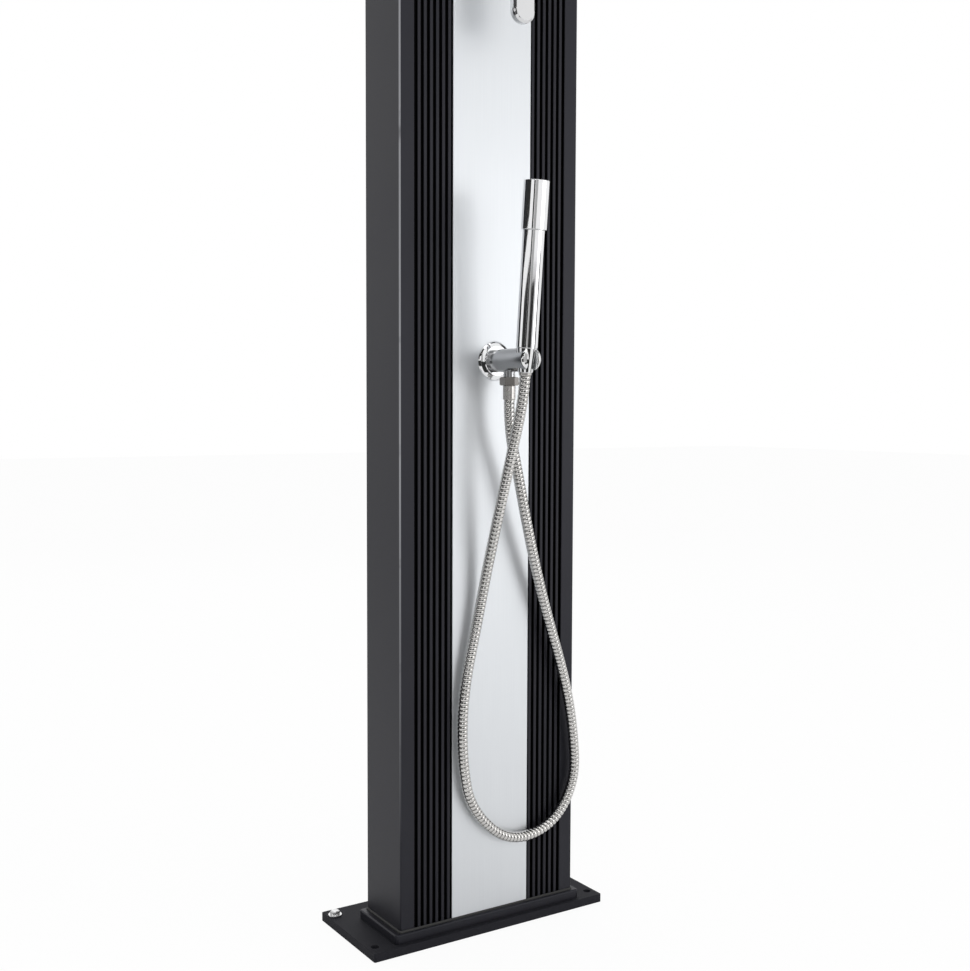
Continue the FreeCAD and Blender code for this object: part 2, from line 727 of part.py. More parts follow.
# ---- mixer tap ----------------------------------------------------------------------------
def mixer_flange():
    r = MIXER_FLANGE_D / 2
    inner = SLEEVE_D / 2 + GAP / 2
    top = PANEL_PROUD + MIXER_FLANGE_T
    return on_panel(turned([(inner, PANEL_PROUD), (r, PANEL_PROUD), (r, PANEL_PROUD + 2.2),
                            (inner + 2.0, top), (inner, top)], [0, 0, 1.0, 1.0, 0]), MIXER_Z)


def mixer_sleeve():
    r = SLEEVE_D / 2
    inner = r - SLEEVE_WALL
    lip = BALL_R + DOME_GAP
    return on_panel(turned([(inner, PANEL_PROUD), (r, PANEL_PROUD), (r, SLEEVE_OUT), (lip, SLEEVE_OUT),
                            (lip, SLEEVE_OUT - 1.2), (inner, SLEEVE_OUT - 1.2)],
                           [0, 0, 1.0, 0, 0, 0]), MIXER_Z)


def valve_block(width, z, height, neck_d, neck_out):
    """Valve block behind the panel with its round neck through it."""
    body = block(FITTING_X - width / 2, FITTING_X + width / 2, FRONT + VALVE_FRONT,
                 FRONT + VALVE_FRONT + VALVE_D, z - height / 2, z + height / 2, 3.0)
    return body.fuse(on_panel(rod(neck_d / 2, -VALVE_FRONT - 1.0, neck_out), z)).removeSplitter()


def drill(x, y, z0, z1, radius=None):
    r = PIPE_BORE_D / 2 if radius is None else radius
    return rod(r, z0, z1, x, y)


def mixer_body():
    body = valve_block(VALVE_W, MIXER_Z, VALVE_H, MIXER_NECK_D, CARTRIDGE_FRONT + 3.0)
    floor = CARTRIDGE_FRONT - CARTRIDGE_L
    pocket = on_panel(rod(CARTRIDGE_D / 2 + GAP / 2, floor, CARTRIDGE_FRONT + 4.0), MIXER_Z)
    half = VALVE_H / 2
    ports = [drill(FITTING_X - PORT_SPREAD, VALVE_Y, MIXER_Z, MIXER_Z + half),
             drill(FITTING_X + PORT_SPREAD, VALVE_Y, MIXER_Z - half, MIXER_Z),
             drill(FITTING_X, VALVE_Y, MIXER_Z, MIXER_Z + half),
             Part.makeCylinder(PIPE_BORE_D / 2, PORT_SPREAD * 2,
                               Vector(FITTING_X - PORT_SPREAD, VALVE_Y, MIXER_Z), Vector(1, 0, 0))]
    return body.cut([pocket] + ports)


def mixer_cartridge():
    floor = CARTRIDGE_FRONT - CARTRIDGE_L
    body = rod(CARTRIDGE_D / 2, floor, CARTRIDGE_FRONT)
    return on_panel(body.cut(rod(CARTRIDGE_D / 2 - 4.0, CARTRIDGE_FRONT - 6.0, CARTRIDGE_FRONT)), MIXER_Z)


def cartridge_nut():
    r = MIXER_NECK_D / 2 + 1.2
    hole = CARTRIDGE_D / 2 - 3.0
    front = CARTRIDGE_FRONT + 6.0
    neck_end = CARTRIDGE_FRONT + 3.0
    return on_panel(ring(r, hole, neck_end, front).fuse(
        ring(CARTRIDGE_D / 2 - GAP, hole, CARTRIDGE_FRONT, neck_end)).removeSplitter(), MIXER_Z)


def cartridge_rotor():
    """Turning part of the cartridge, with the fork that carries the lever's stem."""
    r = CARTRIDGE_D / 2 - 4.3
    base = rod(r, CARTRIDGE_FRONT - 5.7, CARTRIDGE_FRONT + 7.5)
    fork = block(-FORK_HALF, FORK_HALF, -6.0, 6.0, CARTRIDGE_FRONT + 7.5, BALL_OUT + 4.5)
    gap = block(-STEM_D / 2 - 0.5, STEM_D / 2 + 0.5, -14.0, 14.0, BALL_OUT - 6.5, BALL_OUT + 5.0)
    pin = Part.makeCylinder(PIN_D / 2 + GAP / 2, BALL_R * 2, Vector(-BALL_R, 0, BALL_OUT), Vector(1, 0, 0))
    return on_panel(base.fuse(fork).removeSplitter().cut([gap, pin]), MIXER_Z)


def stem_pin():
    pin = Part.makeCylinder(PIN_D / 2, 2 * FORK_HALF, Vector(-FORK_HALF, 0, BALL_OUT), Vector(1, 0, 0))
    return on_panel(pin, MIXER_Z)


def mixer_dome():
    """Round cover that turns with the lever; the stem moves in its slot."""
    outer = Part.makeSphere(BALL_R, Vector(0, 0, BALL_OUT))
    inner = Part.makeSphere(BALL_R - 2.0, Vector(0, 0, BALL_OUT))
    shell = outer.cut(inner)
    back = rod(BALL_R + 1.0, BALL_OUT - BALL_R - 1.0, BALL_OUT - 4.5)
    half = STEM_D / 2 + 1.2
    rise = (BALL_R + 2.0) * math.sin(math.radians(LIFT_MAX)) + half
    slot = block(-half, half, -half, rise, BALL_OUT, BALL_OUT + BALL_R + 1.0, half * 0.9)
    ears = block(-BALL_R, BALL_R, -5.0, 5.0, BALL_OUT - 4.5, BALL_OUT + 3.0)
    ears = ears.common(outer).cut(block(-FORK_HALF, FORK_HALF, -6.0, 6.0, BALL_OUT - 5.0, BALL_OUT + 3.5))
    return on_panel(shell.cut([back, slot]).fuse(ears).removeSplitter(), MIXER_Z)


def mixer_stem():
    eye = Part.makeCylinder(5.5, STEM_D, Vector(-STEM_D / 2, 0, BALL_OUT), Vector(1, 0, 0))
    bar = block(-STEM_D / 2 + 0.6, STEM_D / 2 - 0.6, -STEM_D / 2 + 0.6, STEM_D / 2 - 0.6,
                BALL_OUT, LEVER_BACK + LEVER_T * 0.62)
    hole = Part.makeCylinder(PIN_D / 2 + GAP / 2, STEM_D * 2, Vector(-STEM_D, 0, BALL_OUT), Vector(1, 0, 0))
    return on_panel(eye.fuse(bar).removeSplitter().cut(hole), MIXER_Z)


def mixer_handle():
    """Cup over the dome and the flat lever that hangs from it."""
    inner_r = BALL_R + CUP_GAP
    outer_r = inner_r + CUP_WALL
    front = LEVER_BACK + LEVER_T
    half_w = LEVER_W / 2
    lever = outline([(-half_w, -LEVER_L, LEVER_BACK), (half_w, -LEVER_L, LEVER_BACK),
                     (half_w, half_w, LEVER_BACK), (-half_w, half_w, LEVER_BACK)],
                    half_w - 0.01).extrude(Vector(0, 0, LEVER_T))
    rim = [edge for edge in lever.Edges if edge.CenterOfMass.z > front - GAP]
    lever = lever.makeChamfer(LEVER_BEVEL, rim)
    cup = Part.makeSphere(outer_r, Vector(0, 0, BALL_OUT))
    edge_z = BALL_OUT + outer_r * math.cos(math.radians(CUP_ANGLE))
    cup = cup.common(rod(outer_r + 1.0, edge_z, BALL_OUT + outer_r - 0.4))
    hollow = Part.makeSphere(inner_r, Vector(0, 0, BALL_OUT))
    half = STEM_D / 2 - 0.6 + GAP / 2
    socket = block(-half, half, -half, half, BALL_OUT, LEVER_BACK + LEVER_T * 0.62)
    grub = Part.makeCylinder(GRUB_D / 2 + GAP / 2, LEVER_W, Vector(0, 0, front - GRUB_IN), Vector(0, 1, 0))
    return on_panel(lever.fuse(cup).removeSplitter().cut([hollow, socket, grub]), MIXER_Z)


def handle_screw():
    half = STEM_D / 2 - 0.6
    front = LEVER_BACK + LEVER_T
    screw = Part.makeCylinder(GRUB_D / 2, GRUB_L, Vector(0, half, front - GRUB_IN), Vector(0, 1, 0))
    return on_panel(screw, MIXER_Z)


# ---- diverter -----------------------------------------------------------------------------
def round_flange(diameter, thickness, hole):
    r = diameter / 2
    top = PANEL_PROUD + thickness
    return turned([(hole, PANEL_PROUD), (r, PANEL_PROUD), (r, PANEL_PROUD + 1.8), (hole + 3.0, top),
                   (hole, top)], [0, 0, 0.8, 1.0, 0])


def diverter_flange():
    return on_panel(round_flange(DIVERTER_FLANGE_D, FLANGE_T, TAIL_D / 2 + GAP / 2), DIVERTER_Z)


def arm_flange():
    return on_panel(round_flange(ARM_FLANGE_D, FLANGE_T, ARM_D / 2 + GAP / 2), ARM_Z)


def diverter_body():
    body = valve_block(DIVERTER_W, DIVERTER_Z, VALVE_H, TAIL_D, 10.0)
    half = VALVE_H / 2
    ports = [drill(FITTING_X, VALVE_Y, DIVERTER_Z - half, DIVERTER_Z + half),
             Part.makeCylinder(PIPE_BORE_D / 2, VALVE_D / 2, Vector(FITTING_X, VALVE_Y, DIVERTER_Z),
                               Vector(0, 1, 0)),
             on_panel(rod(SPINDLE_D / 2 + 0.06, -VALVE_FRONT - 4.0, 10.0), DIVERTER_Z)]
    return body.cut(ports)


def diverter_spindle():
    return on_panel(rod(SPINDLE_D / 2, -VALVE_FRONT - 3.5, KNOB_OUT - 6.0), DIVERTER_Z)


def diverter_knob():
    """Turning knob with a raised pointer bar."""
    r = KNOB_D / 2
    low = 12.0
    knob = turned([(0, low), (r - 1.0, low), (r, low + 5.0), (r - 1.6, KNOB_OUT), (0, KNOB_OUT)],
                  [0, 1.0, 2.0, 1.6, 0])
    bar = block(-3.0, 3.0, -r + 2.0, r - 2.0, KNOB_OUT - 1.0, KNOB_OUT + 5.0, 2.9)
    knob = knob.fuse(bar).removeSplitter()
    return on_panel(knob.cut(rod(SPINDLE_D / 2 + GAP / 2, low, KNOB_OUT - 6.0)), DIVERTER_Z)


# ---- shower arm and overhead shower -------------------------------------------------------
def joint_centre():
    return Vector(FITTING_X, FRONT - ARM_REACH, ARM_Z - ARM_DROP - JOINT_BALL_D * 0.9)


def shower_arm():
    start = FRONT + VALVE_FRONT + VALVE_D / 2
    points = [(FITTING_X, start, ARM_Z), (FITTING_X, FRONT - ARM_REACH, ARM_Z),
              (FITTING_X, FRONT - ARM_REACH, ARM_Z - ARM_DROP)]
    return pipe(points, ARM_BEND_R, ARM_D, ARM_BORE_D)


def ball_nipple():
    """Threaded nipple in the end of the arm, with the ball of the swivel joint."""
    centre = joint_centre()
    top = ARM_Z - ARM_DROP - centre.z
    neck = JOINT_NECK_D / 2
    ball = Part.makeSphere(JOINT_BALL_D / 2)
    stub = turned([(0, 0), (neck, 0), (neck, top - 3.0), (ARM_D / 2, top - 3.0), (ARM_D / 2, top),
                   (ARM_BORE_D / 2 - GAP / 2, top), (ARM_BORE_D / 2 - GAP / 2, top + 12.0),
                   (0, top + 12.0)])
    bore = rod(3.0, -JOINT_BALL_D, top + 13.0)
    nipple = ball.fuse(stub).removeSplitter().cut(bore)
    nipple.translate(centre)
    return nipple


def swivel_ring():
    """Low-friction seat ring on the ball; it carries one of the two tilts of the joint."""
    r = JOINT_BALL_D / 2 + JOINT_GAP
    outer = JOINT_BALL_D / 2 + 3.0
    seat = rod(outer, -4.0, 4.0).common(Part.makeSphere(outer)).cut(Part.makeSphere(r))
    seat.translate(joint_centre())
    return seat


def swivel_collar():
    """Round cup with its nut, which holds the ring and the ball and screws on the shower head."""
    ring_r = JOINT_BALL_D / 2 + 3.0 + JOINT_GAP
    outer = ring_r + 3.0
    low = -JOINT_BALL_D / 2 - 8.0
    high = JOINT_BALL_D / 2 + 0.5
    lean = math.radians(TILT_MAX * math.sqrt(2) + 1.0)
    neck = JOINT_NECK_D / 2 / math.cos(lean) + 3 * JOINT_GAP
    body = turned([(0, low), (outer, low), (outer, high - 3.0), (outer - 2.5, high), (0, high)],
                  [0, 0, 1.0, 1.0, 0])
    cavity = Part.makeSphere(ring_r)
    mouth = turned([(0, 0), (neck, 0), (neck + high * math.tan(lean) + 1.0, high + 1.0), (0, high + 1.0)])
    bore = rod(3.5, low, 0)
    collar = body.cut([cavity, mouth, bore])
    collar.translate(joint_centre())
    return collar


def overhead_top():
    return joint_centre().z - JOINT_BALL_D / 2 - 8.0


def overhead_shell():
    """Flat round housing of the overhead shower, open below."""
    r = OVERHEAD_D / 2
    top = overhead_top()
    low = top - OVERHEAD_T - 5.0
    wall = OVERHEAD_WALL
    ledge = low + FACE_INSET + SPRAY_PLATE_T
    hub = OVERHEAD_HUB_D / 2
    shell = turned([(3.5, top), (hub, top), (r - 6.0, low + OVERHEAD_T), (r, low + 3.0), (r, low),
                    (r - wall, low), (r - wall, ledge), (r - wall - 3.0, ledge),
                    (r - wall - 6.0, low + OVERHEAD_T - wall), (hub - 2.0, top - wall), (3.5, top - wall)],
                   [0, 4.0, 6.0, 1.0, 0.8, 0, 0, 0, 1.0, 2.0, 0])
    shell.translate(Vector(FITTING_X, FRONT - ARM_REACH, 0))
    return shell


def overhead_face():
    """Spray plate with soft nozzles in rings."""
    low = overhead_top() - OVERHEAD_T - 5.0
    r = OVERHEAD_D / 2 - OVERHEAD_WALL - GAP
    base = low + FACE_INSET
    plate = rod(r, base, base + SPRAY_PLATE_T)
    nozzles = []
    for radius, count in zip(NOZZLE_RINGS, NOZZLE_COUNTS):
        for i in range(count):
            angle = 2 * math.pi * i / count
            nozzles.append(rod(NOZZLE_D / 2, base - NOZZLE_L, base, radius * math.cos(angle),
                               radius * math.sin(angle)))
    plate = plate.fuse(nozzles).removeSplitter()
    plate.translate(Vector(FITTING_X, FRONT - ARM_REACH, 0))
    return plate


def arm_elbow():
    """Elbow block behind the panel that turns the riser into the arm."""
    half = 15.0
    y0 = VALVE_Y
    body = block(FITTING_X - half, FITTING_X + half, y0 - PIPE_D, y0 + half,
                 ARM_Z - half, ARM_Z + half, 3.0)
    socket = Part.makeCylinder(ARM_D / 2 + GAP / 2, PIPE_D + 1.0, Vector(FITTING_X, y0, ARM_Z),
                               Vector(0, -1, 0))
    riser = drill(FITTING_X, y0 + 3.0, ARM_Z - half - 1.0, ARM_Z)
    link = Part.makeCylinder(PIPE_BORE_D / 2, 9.0, Vector(FITTING_X, y0 - 1.0, ARM_Z), Vector(0, 1, 0))
    return body.cut(socket).cut(riser).cut(link)


# ---- water way ----------------------------------------------------------------------------
def manifold(z, pipe_x, step):
    """Small block that joins both water chambers; its pipe leaves upwards or downwards."""
    body = block(-BLOCK_W / 2, BLOCK_W / 2, PIPE_Y - BLOCK_D / 2, PIPE_Y + BLOCK_D / 2,
                 z - BLOCK_H / 2, z + BLOCK_H / 2, 3.0)
    cuts = [Part.makeCylinder(PIPE_BORE_D / 2, BLOCK_W, Vector(-BLOCK_W / 2, PIPE_Y, z), Vector(1, 0, 0))]
    cuts.append(drill(pipe_x, PIPE_Y, min(z, z + step * BLOCK_H), max(z, z + step * BLOCK_H)))
    if step > 0:
        cuts.append(Part.makeCylinder(INLET_D / 2 + GAP / 2, BLOCK_D / 2 - 3.0,
                                      Vector(0, PIPE_Y + BLOCK_D / 2, z), Vector(0, -1, 0)))
        cuts.append(Part.makeCylinder(PIPE_BORE_D / 2, BLOCK_D / 2, Vector(0, PIPE_Y, z), Vector(0, 1, 0)))
    return body.cut(cuts)


def chamber_tubes(z):
    """Short tubes from a manifold through the webs into the chambers."""
    length = CHAMBER_X0 + 6.0 - BLOCK_W / 2
    outer = Part.makeCylinder(PIPE_D / 2, length, Vector(BLOCK_W / 2, PIPE_Y, z), Vector(1, 0, 0))
    inner = Part.makeCylinder(PIPE_BORE_D / 2, length, Vector(BLOCK_W / 2, PIPE_Y, z), Vector(1, 0, 0))
    tube = outer.cut(inner)
    return [tube, flipped(tube)]


def inlet_fitting():
    """Hexagon nipple in the back wall for the supply hose."""
    inner = PIPE_Y + BLOCK_D / 2 - (BLOCK_D / 2 - 3.0) + GAP
    flange = BACK + GASKET_T
    length = flange - inner
    r = INLET_D / 2
    body = hexagon(INLET_HEX_AF, length, length + 6.0).fuse(rod(r, 0, length + 6.0 + INLET_L))
    body = body.removeSplitter().cut(rod(PIPE_BORE_D / 2 + 1.0, 0, length + 6.0 + INLET_L))
    body.Placement = Placement(Vector(0, inner, INLET_Z), Rotation(Vector(1, 0, 0), -90))
    return body


def back_washer(radius, hole, x):
    washer = ring(radius, hole, 0, GASKET_T)
    washer.Placement = Placement(Vector(x, BACK, INLET_Z), Rotation(Vector(1, 0, 0), -90))
    return washer


def drain_plug():
    """Hexagon plug in the back of one water chamber."""
    body = hexagon(INLET_HEX_AF * 0.8, WALL + GASKET_T + 6.0, WALL + GASKET_T + 13.0)
    body = body.fuse(rod(DRAIN_D / 2, 0, WALL + GASKET_T + 6.0)).removeSplitter()
    body.Placement = Placement(Vector(CHAMBER_X0 + DRAIN_X, BACK - WALL - 6.0, INLET_Z),
                               Rotation(Vector(1, 0, 0), -90))
    return body


def chamber_pipe(x, z_back, z_valve, up):
    """Pipe along the back of the middle chamber that swings forward to a valve block."""
    step = 1 if up else -1
    near = z_valve - step * 22.0
    far = near - step * 46.0
    points = [(x, PIPE_Y, z_back), (x, PIPE_Y, far), (x, VALVE_Y, near), (x, VALVE_Y, z_valve)]
    return pipe(points, PIPE_BEND_R * 0.8, PIPE_D, PIPE_BORE_D)


def cold_pipe():
    """From the inlet manifold's side outlet up to the mixer."""
    x = FITTING_X + PORT_SPREAD
    return chamber_pipe(x, INLET_Z + BLOCK_H / 2, MIXER_Z - VALVE_H / 2, True)


def hot_pipe():
    x = FITTING_X - PORT_SPREAD
    return chamber_pipe(x, HOT_Z - BLOCK_H / 2, MIXER_Z + VALVE_H / 2, False)


def straight_pipe(z0, z1, y):
    return pipe([(FITTING_X, y, z0), (FITTING_X, y, z1)], 0, PIPE_D, PIPE_BORE_D)


def hand_pipe():
    """From the diverter down to the tail of the holder."""
    start = FRONT + VALVE_FRONT + VALVE_D
    tail = FRONT + PANEL_BACK + NUT_H + 10.0
    points = [(FITTING_X, start, DIVERTER_Z), (FITTING_X, PIPE_Y, DIVERTER_Z),
              (FITTING_X, PIPE_Y, HOLDER_Z), (FITTING_X, tail, HOLDER_Z)]
    return pipe(points, PIPE_BEND_R * 0.8, PIPE_D, PIPE_BORE_D)


# ---- all pieces ---------------------------------------------------------------------------
def plugs_and_seals():
    bodies = []
    seals = []
    for z0, z1 in ((PLATE_T, PLATE_T + PLUG_T), (COLUMN_TOP - PLUG_T, COLUMN_TOP)):
        body, seal = plug(z0, z1)
        bodies += [body, flipped(body)]
        seals += [seal, flipped(seal)]
    return bodies, seals


def main():
    os.makedirs("parts", exist_ok=True)
    save("base_plate", base_plate())
    save("base_screws", screws(0, False))
    save("foot_collar", foot_collar())
    save("foot_seal", foot_seal())
    save("anchor_bolt", anchor_bolt())
    save("anchor_washer", anchor_washer())
    save("column_profile", column_profile())
    save("front_panel", front_panel())
    bodies, seals = plugs_and_seals()
    save("chamber_plugs", bodies)
    save("plug_seals", seals)
    save("top_cap", top_cap())
    save("cap_screws", screws(COLUMN_TOP + CAP_T, True))

    save("holder_rosette", on_panel(holder_rosette(), HOLDER_Z))
    save("holder_body", holder_body())
    save("holder_nut", on_panel(tail_nut(TAIL_D), HOLDER_Z))
    save("hose_nut", hose_nut())
    save("lower_ferrule", lower_ferrule())
    save("shower_hose", shower_hose())
    save("upper_ferrule", upper_ferrule())
    save("cone_nut", cone_nut())
    save("handset_body", handset_body())
    save("handset_head", handset_head())
    save("spray_insert", spray_insert())

    save("mixer_flange", mixer_flange())
    save("mixer_sleeve", mixer_sleeve())
    save("mixer_body", mixer_body())
    save("mixer_cartridge", mixer_cartridge())
    save("cartridge_nut", cartridge_nut())
    save("cartridge_rotor", cartridge_rotor())
    save("stem_pin", stem_pin())
    save("mixer_dome", mixer_dome())
    save("mixer_stem", mixer_stem())
    save("mixer_handle", mixer_handle())
    save("handle_screw", handle_screw())

    save("diverter_flange", diverter_flange())
    save("diverter_body", diverter_body())
    save("diverter_spindle", diverter_spindle())
    save("diverter_knob", diverter_knob())

    save("arm_flange", arm_flange())
    save("shower_arm", shower_arm())
    save("arm_elbow", arm_elbow())
    save("ball_nipple", ball_nipple())
    save("swivel_ring", swivel_ring())
    save("swivel_collar", swivel_collar())
    save("overhead_shell", overhead_shell())
    save("overhead_face", overhead_face())

    save("inlet_manifold", manifold(INLET_Z, FITTING_X + PORT_SPREAD, 1))
    save("hot_manifold", manifold(HOT_Z, FITTING_X - PORT_SPREAD, -1))
    save("inlet_tubes", chamber_tubes(INLET_Z))
    save("hot_tubes", chamber_tubes(HOT_Z))
    save("inlet_fitting", inlet_fitting())
    save("inlet_washer", back_washer(INLET_HEX_AF / 2, INLET_D / 2 + GAP, 0))
    save("drain_plug", drain_plug())
    save("drain_washer", back_washer(DRAIN_D / 2 + 2.0, DRAIN_D / 2 + GAP, CHAMBER_X0 + DRAIN_X))
    save("cold_pipe", cold_pipe())
    save("hot_pipe", hot_pipe())
    save("mixed_pipe", straight_pipe(MIXER_Z + VALVE_H / 2, DIVERTER_Z - VALVE_H / 2, VALVE_Y))
    save("riser_pipe", straight_pipe(DIVERTER_Z + VALVE_H / 2, ARM_Z - 15.0, VALVE_Y))
    save("hand_pipe", hand_pipe())


main()
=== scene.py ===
"""Outdoor shower post: finishes, turned chrome parts, ribbed hose and studio for the CAD pack."""

import json
import math

import bmesh
import bpy
from mathutils import Matrix, Vector


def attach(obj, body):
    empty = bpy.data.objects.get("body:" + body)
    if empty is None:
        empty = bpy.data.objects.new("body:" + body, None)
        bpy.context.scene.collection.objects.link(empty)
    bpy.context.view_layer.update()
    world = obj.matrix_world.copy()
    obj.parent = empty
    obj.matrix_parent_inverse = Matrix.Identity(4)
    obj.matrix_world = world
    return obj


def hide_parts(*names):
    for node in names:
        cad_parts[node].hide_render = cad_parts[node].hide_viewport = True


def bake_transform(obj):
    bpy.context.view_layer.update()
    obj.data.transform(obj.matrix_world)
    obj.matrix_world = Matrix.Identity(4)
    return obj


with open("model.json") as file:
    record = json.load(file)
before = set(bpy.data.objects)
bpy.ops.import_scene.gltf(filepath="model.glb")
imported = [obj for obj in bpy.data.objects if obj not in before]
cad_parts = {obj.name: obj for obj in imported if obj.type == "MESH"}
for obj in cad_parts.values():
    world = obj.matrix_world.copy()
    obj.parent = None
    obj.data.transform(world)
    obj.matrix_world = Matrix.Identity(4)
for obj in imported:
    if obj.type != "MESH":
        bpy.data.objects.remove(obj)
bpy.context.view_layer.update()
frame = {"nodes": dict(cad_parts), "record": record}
node = frame["nodes"]


def add_object(name, data):
    """Object in the scene for a mesh, curve, lamp or camera."""
    made = bpy.data.objects.new(name, data)
    bpy.context.scene.collection.objects.link(made)
    return made


def add_mesh(name, mesh, material):
    """Object from a finished bmesh, in one material."""
    data = bpy.data.meshes.new(name)
    mesh.to_mesh(data)
    mesh.free()
    data.materials.append(material)
    return add_object(name, data)


# ---- camera at the photograph's viewing angle ---------------------------------------------
CAMERA_PLACE = (-0.7757, -1.2423, 0.6133)
CAMERA_TURN = (-32.913, 3.587, 0.194)    # yaw, pitch and roll in degrees
LENS = 45.43
SENSOR_WIDTH = 36.0


def photograph_camera():
    """Camera fitted to the edges of the column, the panel and the base plate."""
    yaw, pitch, roll = (math.radians(angle) for angle in CAMERA_TURN)
    back = Vector((math.sin(yaw) * math.cos(pitch), -math.cos(yaw) * math.cos(pitch),
                   math.sin(pitch)))
    right = Vector((math.cos(yaw), math.sin(yaw), 0))
    up = back.cross(right)
    rolled_right = right * math.cos(roll) + up * math.sin(roll)
    rolled_up = up * math.cos(roll) - right * math.sin(roll)
    data = bpy.data.cameras.new("camera")
    data.lens = LENS
    data.sensor_width = SENSOR_WIDTH
    camera = add_object("camera", data)
    turn = Matrix((rolled_right, rolled_up, back)).transposed().to_4x4()
    camera.matrix_world = Matrix.Translation(CAMERA_PLACE) @ turn
    bpy.context.scene.camera = camera


# ---- shader maths -------------------------------------------------------------------------
class Value:
    """One output socket of a material, with the operators that the finishes use."""

    def __init__(self, paint, socket):
        self.paint = paint
        self.socket = socket

    def __add__(self, other):
        return self.paint.maths("ADD", self, other)

    def __sub__(self, other):
        return self.paint.maths("SUBTRACT", self, other)

    def __mul__(self, other):
        return self.paint.maths("MULTIPLY", self, other)

    def __radd__(self, other):
        return self + other

    def __rsub__(self, other):
        return self.paint.maths("SUBTRACT", other, self)

    def __rmul__(self, other):
        return self * other

    def power(self, other):
        return self.paint.maths("POWER", self, other)

    def without_sign(self):
        return self.paint.maths("ABSOLUTE", self)

    def between(self, low, high):
        """0 below low, 1 above high, straight between."""
        return self.paint.make("ShaderNodeMapRange", {"clamp": True},
                               {0: self, 1: low, 2: high, 3: 0.0, 4: 1.0})


class Paint:
    """A material built from a few plain steps."""

    def __init__(self, name):
        self.material = bpy.data.materials.new(name)
        self.material.use_nodes = True
        self.tree = self.material.node_tree
        self.shader = self.tree.nodes["Principled BSDF"]

    def make(self, kind, settings, inputs, output=0):
        """New node with its settings and inputs; gives one of its outputs."""
        made = self.tree.nodes.new(kind)
        for key, value in settings.items():
            setattr(made, key, value)
        for key, value in inputs.items():
            self.feed(made.inputs[key], value)
        return Value(self, made.outputs[output])

    def feed(self, socket, value):
        if isinstance(value, Value):
            self.tree.links.new(value.socket, socket)
        else:
            socket.default_value = value

    def set(self, **values):
        """Feeds the shader's own inputs."""
        for key, value in values.items():
            self.feed(self.shader.inputs[key.replace("_", " ")], value)

    def maths(self, operation, *values):
        return self.make("ShaderNodeMath", {"operation": operation}, dict(enumerate(values)))

    def place(self):
        """Place on the piece in metres."""
        return self.make("ShaderNodeTexCoord", {}, {}, "Object")

    def axes(self):
        """Place on the piece in metres, as three single values."""
        x = self.make("ShaderNodeSeparateXYZ", {}, {0: self.place()})
        outputs = x.socket.node.outputs
        return x, Value(self, outputs["Y"]), Value(self, outputs["Z"])

    def stretched(self, x, y, z):
        """Place on the piece with each direction scaled by itself."""
        return self.make("ShaderNodeMapping", {}, {"Vector": self.place(), "Scale": (x, y, z)})

    def noise(self, where, scale, detail):
        return self.make("ShaderNodeTexNoise", {},
                         {"Vector": where, "Scale": scale, "Detail": detail}, "Fac")

    def mix(self, share, first, second):
        """Colour between two, by the node's colour sockets."""
        return self.make("ShaderNodeMix", {"data_type": "RGBA"}, {0: share, 6: first, 7: second}, 2)

    def bump(self, height, distance, strength):
        return self.make("ShaderNodeBump", {},
                         {"Height": height, "Distance": distance, "Strength": strength}, "Normal")


def tone(red, green, blue):
    return (red, green, blue, 1.0)


def grey(light):
    return (light, light, light, 1.0)


# ---- finishes -----------------------------------------------------------------------------
COLUMN_SIDE = 0.120               # side face of the column from its middle, in metres
COLUMN_FRONT = 0.0565             # front face of the column from its middle
# Bands of the column's painted light: a painted highlight along the front corners, painted shade in
# the grooves.
HIGHLIGHT_ASIDE = (0.0013, 0.0009)     # inside the side face: painted highlight begins, painted highlight is full
HIGHLIGHT_BEHIND = (0.0026, 0.0020)    # behind the front face: painted highlight begins, painted highlight is full
HIGHLIGHT_HEIGHT = (0.12, 0.55)        # above the ground: painted highlight begins, painted highlight is full
GROOVE_SHADE_FLOOR = (0.0034, 0.0032)   # behind the front face: painted shade begins, painted shade is full
GROOVE_SHADE_LIP = (0.0018, 0.0005)     # behind the front face: painted shade is full, painted shade ends
GROOVE_SHADE_END = (0.1030, 0.1032)    # aside of the middle: painted shade is full, painted shade ends
DOME = (0.1300, 0.1306)           # ahead of the middle: satin ends, polish is full
GROOVE_LAYER = "groove"           # how deep a point of the hose lies in its groove, 0 to 1


def inside(face, depths):
    """Places at these depths behind a face."""
    return (face - depth for depth in depths)


def column_painted_light(paint):
    """Painted highlight along the column's front corners and painted shade in its grooves, each
    from 0 to 1.
    """
    x, y, z = paint.axes()
    aside = x.without_sign()
    ahead = 0.0 - y
    patchy = paint.noise(paint.place(), scale=40.0, detail=3.0).between(0.1, 0.4)
    # painted highlight along the front corners, patchy, fading towards the ground as the light does
    painted_highlight = (aside.between(*inside(COLUMN_SIDE, HIGHLIGHT_ASIDE))
            * ahead.between(*inside(COLUMN_FRONT, HIGHLIGHT_BEHIND))
            * z.between(*HIGHLIGHT_HEIGHT) * patchy)
    # painted shade in the grooves of the ribs, where the coat lies in shade
    groove = (ahead.between(*inside(COLUMN_FRONT, GROOVE_SHADE_FLOOR))
              * (1.0 - ahead.between(*inside(COLUMN_FRONT, GROOVE_SHADE_LIP)))
              * (1.0 - aside.between(*GROOVE_SHADE_END)))
    return painted_highlight, groove


